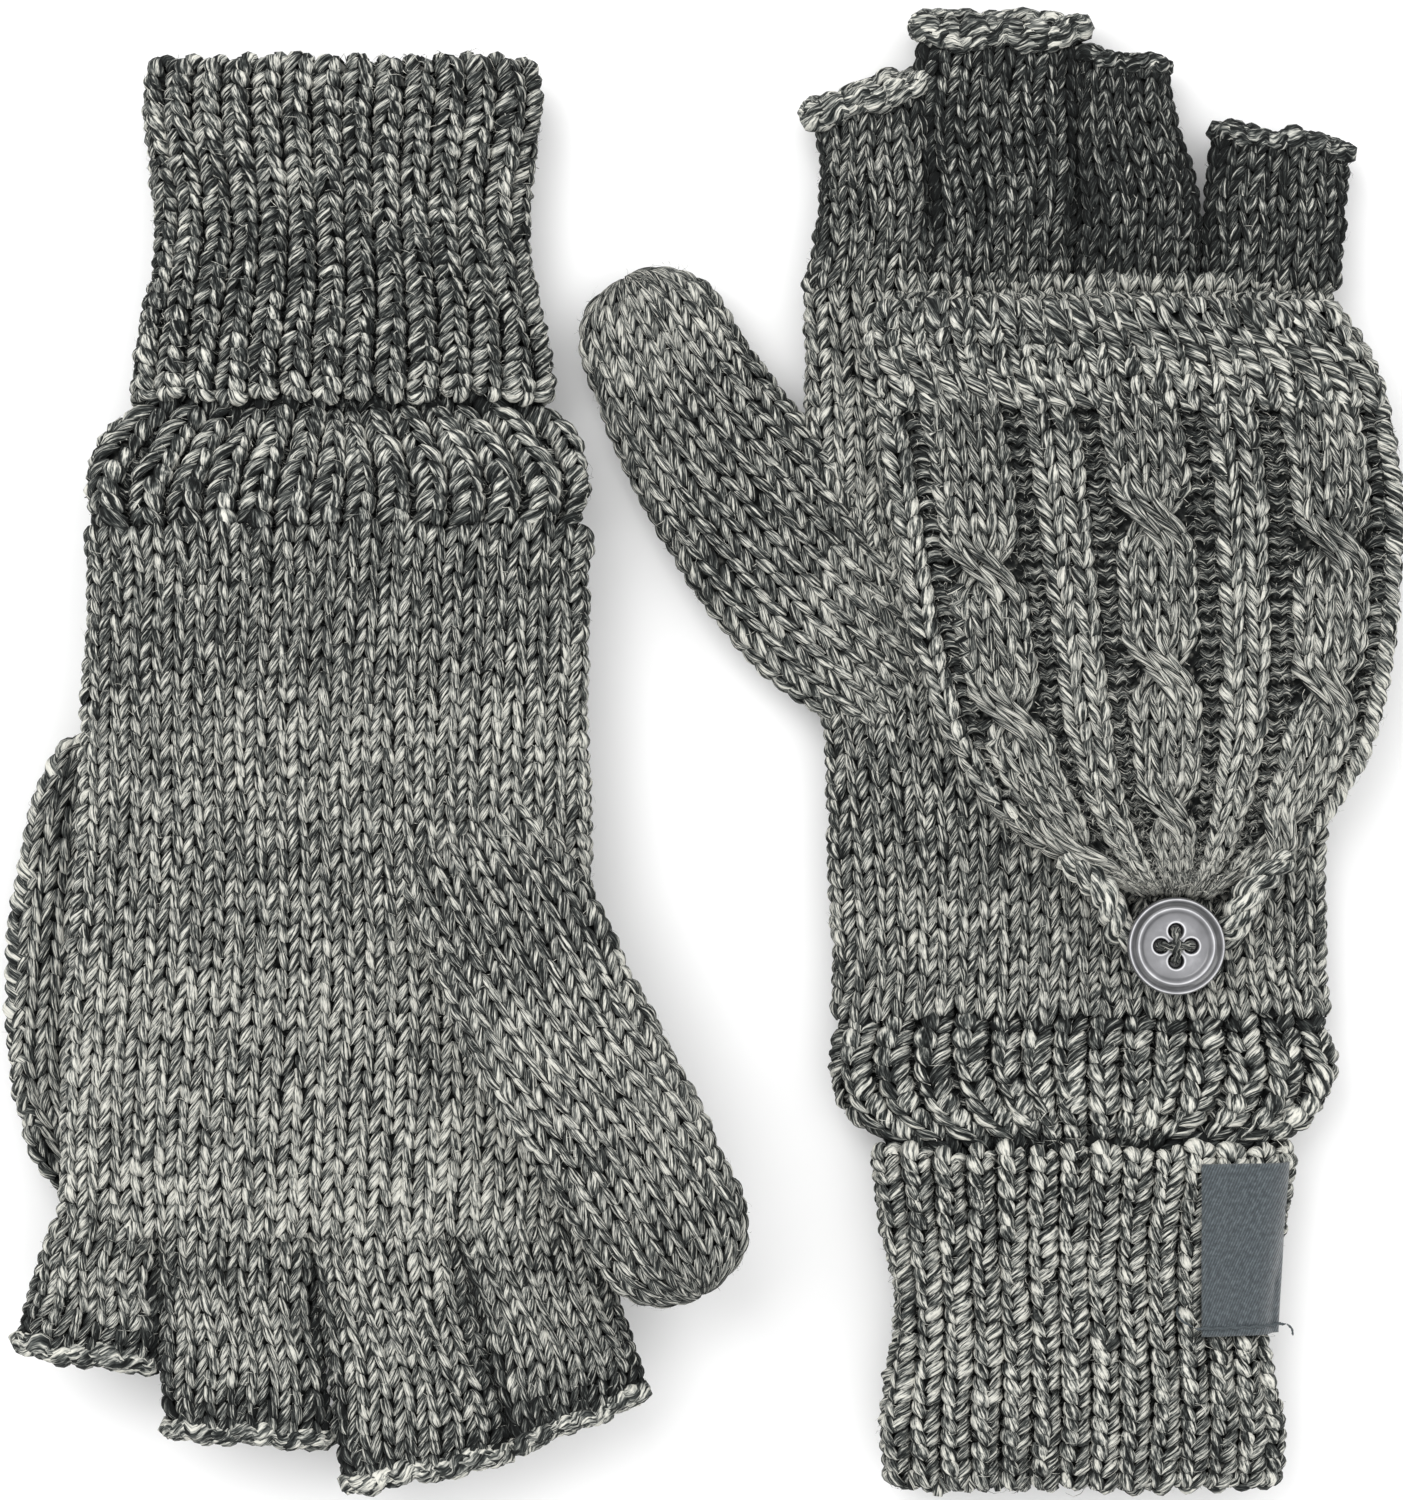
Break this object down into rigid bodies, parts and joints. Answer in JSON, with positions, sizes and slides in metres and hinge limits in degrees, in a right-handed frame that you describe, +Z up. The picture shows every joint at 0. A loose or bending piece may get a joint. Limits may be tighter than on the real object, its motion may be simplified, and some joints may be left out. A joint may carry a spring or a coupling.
{
  "type": "convertible flip-top mittens",
  "caption": "Pair of knitted half-finger gloves with closed thumbs, turned-up cuffs and a cabled flip cap that buttons back on the hand.",
  "frame": {"origin": "centre of the pair's bounding box, on the surface it lies on", "axes": "+X from the left mitten to the right mitten, +Y towards the right mitten's fingertips, +Z up from the surface"},
  "size_m": [0.2302, 0.2454, 0.03],
  "materials": {
    "knitted_yarn": "marled dark grey and off-white wool knit, soft and slightly hairy",
    "button_plastic": "polished mid grey resin",
    "button_thread": "marled yarn",
    "label_satin": "woven slate-grey satin, plain",
    "label_thread": "twisted sewing thread"
  },
  "bodies": {
    "right_hand": {"right_hand_shell": "knitted_yarn", "right_wrist_rib": "knitted_yarn", "right_cap_hinge_strip": "knitted_yarn"},
    "right_thumb": {"right_thumb": "knitted_yarn"},
    "right_index_finger": {"right_index_finger": "knitted_yarn"},
    "right_middle_finger": {"right_middle_finger": "knitted_yarn"},
    "right_ring_finger": {"right_ring_finger": "knitted_yarn"},
    "right_little_finger": {"right_little_finger": "knitted_yarn"},
    "right_cuff": {"right_turned_cuff": "knitted_yarn", "right_cuff_label": "label_satin", "right_label_stitching": "label_thread"},
    "right_cap": {"right_cap_back_panel": "knitted_yarn", "right_button_loop": "knitted_yarn"},
    "right_cap_front": {"right_cap_cable_panel": "knitted_yarn", "right_cap_hem": "knitted_yarn"},
    "right_button": {"right_button": "button_plastic", "right_button_thread": "button_thread"},
    "left_hand": {"left_hand_shell": "knitted_yarn", "left_wrist_rib": "knitted_yarn", "left_cap_hinge_strip": "knitted_yarn"},
    "left_thumb": {"left_thumb": "knitted_yarn"},
    "left_index_finger": {"left_index_finger": "knitted_yarn"},
    "left_middle_finger": {"left_middle_finger": "knitted_yarn"},
    "left_ring_finger": {"left_ring_finger": "knitted_yarn"},
    "left_little_finger": {"left_little_finger": "knitted_yarn"},
    "left_cuff": {"left_turned_cuff": "knitted_yarn"},
    "left_cap": {"left_cap_back_panel": "knitted_yarn", "left_button_loop": "knitted_yarn"},
    "left_cap_front": {"left_cap_cable_panel": "knitted_yarn", "left_cap_hem": "knitted_yarn"},
    "left_button": {"left_button": "button_plastic", "left_button_thread": "button_thread"}
  },
  "joints": [
    {"name": "right_cap_flip", "type": "hinge", "parent": "right_hand", "child": "right_cap", "pos_m": [0.0634, 0.07225, 0.0123], "axis": [-1, 0, 0], "range_deg": [0, 180], "deforming": ["right_cap_hinge_strip", "right_button_loop"]},
    {"name": "right_cap_open", "type": "slide", "parent": "right_cap", "child": "right_cap_front", "axis": [0, 0, 1], "range_m": [0, 0.0125], "deforming": ["right_cap_cable_panel", "right_cap_hem"]},
    {"name": "right_thumb_swing", "type": "hinge", "parent": "right_hand", "child": "right_thumb", "pos_m": [0.0194, 0.02725, 0.0048], "axis": [0, 0, 1], "range_deg": [-12, 8], "deforming": ["right_thumb"]},
    {"name": "right_index_finger_bend", "type": "hinge", "parent": "right_hand", "child": "right_index_finger", "pos_m": [0.0278, 0.07955, 0.0048], "axis": [-1, 0, 0], "range_deg": [-20, 0], "deforming": ["right_index_finger"]},
    {"name": "right_middle_finger_bend", "type": "hinge", "parent": "right_hand", "child": "right_middle_finger", "pos_m": [0.05, 0.07955, 0.0048], "axis": [-1, 0, 0], "range_deg": [-20, 0], "deforming": ["right_middle_finger"]},
    {"name": "right_ring_finger_bend", "type": "hinge", "parent": "right_hand", "child": "right_ring_finger", "pos_m": [0.0726, 0.07955, 0.0048], "axis": [-1, 0, 0], "range_deg": [-20, 0], "deforming": ["right_ring_finger"]},
    {"name": "right_little_finger_bend", "type": "hinge", "parent": "right_hand", "child": "right_little_finger", "pos_m": [0.095, 0.07955, 0.0048], "axis": [-1, 0, 0], "range_deg": [-20, 0], "deforming": ["right_little_finger"]},
    {"name": "right_button_turn", "type": "hinge", "parent": "right_hand", "child": "right_button", "pos_m": [0.0783, -0.03235, 0.0135], "axis": [0, 0, 1], "range_deg": [-25, 25]},
    {"name": "right_cuff_unroll", "type": "slide", "parent": "right_hand", "child": "right_cuff", "axis": [0, -1, 0], "range_m": [0, 0.03]},
    {"name": "left_cap_flip", "type": "hinge", "parent": "left_hand", "child": "left_cap", "pos_m": [-0.0599, -0.07835, 0.0073], "axis": [-1, 0, 0], "range_deg": [0, 180], "deforming": ["left_cap_hinge_strip", "left_button_loop"]},
    {"name": "left_cap_open", "type": "slide", "parent": "left_cap", "child": "left_cap_front", "axis": [0, 0, -1], "range_m": [0, 0.0125], "deforming": ["left_cap_cable_panel", "left_cap_hem"]},
    {"name": "left_thumb_swing", "type": "hinge", "parent": "left_hand", "child": "left_thumb", "pos_m": [-0.0314, -0.02885, 0.0223], "axis": [0, 0, 1], "range_deg": [-8, 12], "deforming": ["left_thumb"]},
    {"name": "left_index_finger_bend", "type": "hinge", "parent": "left_hand", "child": "left_index_finger", "pos_m": [-0.029, -0.08015, 0.0148], "axis": [1, 0, 0], "range_deg": [-20, 0], "deforming": ["left_index_finger"]},
    {"name": "left_middle_finger_bend", "type": "hinge", "parent": "left_hand", "child": "left_middle_finger", "pos_m": [-0.0527, -0.08015, 0.0148], "axis": [1, 0, 0], "range_deg": [-20, 0], "deforming": ["left_middle_finger"]},
    {"name": "left_ring_finger_bend", "type": "hinge", "parent": "left_hand", "child": "left_ring_finger", "pos_m": [-0.0771, -0.08015, 0.0148], "axis": [1, 0, 0], "range_deg": [-20, 0], "deforming": ["left_ring_finger"]},
    {"name": "left_little_finger_bend", "type": "hinge", "parent": "left_hand", "child": "left_little_finger", "pos_m": [-0.0983, -0.08015, 0.0148], "axis": [1, 0, 0], "range_deg": [-20, 0], "deforming": ["left_little_finger"]},
    {"name": "left_button_turn", "type": "hinge", "parent": "left_hand", "child": "left_button", "pos_m": [-0.0748, 0.02625, 0.0061], "axis": [0, 0, 1], "range_deg": [-25, 25]},
    {"name": "left_cuff_unroll", "type": "slide", "parent": "left_hand", "child": "left_cuff", "axis": [0, 1, 0], "range_m": [0, 0.03]},
    {"name": "mittens_apart", "type": "slide", "parent": "right_hand", "child": "left_hand", "axis": [-1, 0, 0], "range_m": [0, 0.06]}
  ],
  "couplings": [
    {"joint": "right_cap_open", "follows": "right_cap_flip", "m_per_rad": 0.0039},
    {"joint": "left_cap_open", "follows": "left_cap_flip", "m_per_rad": 0.0039}
  ]
}
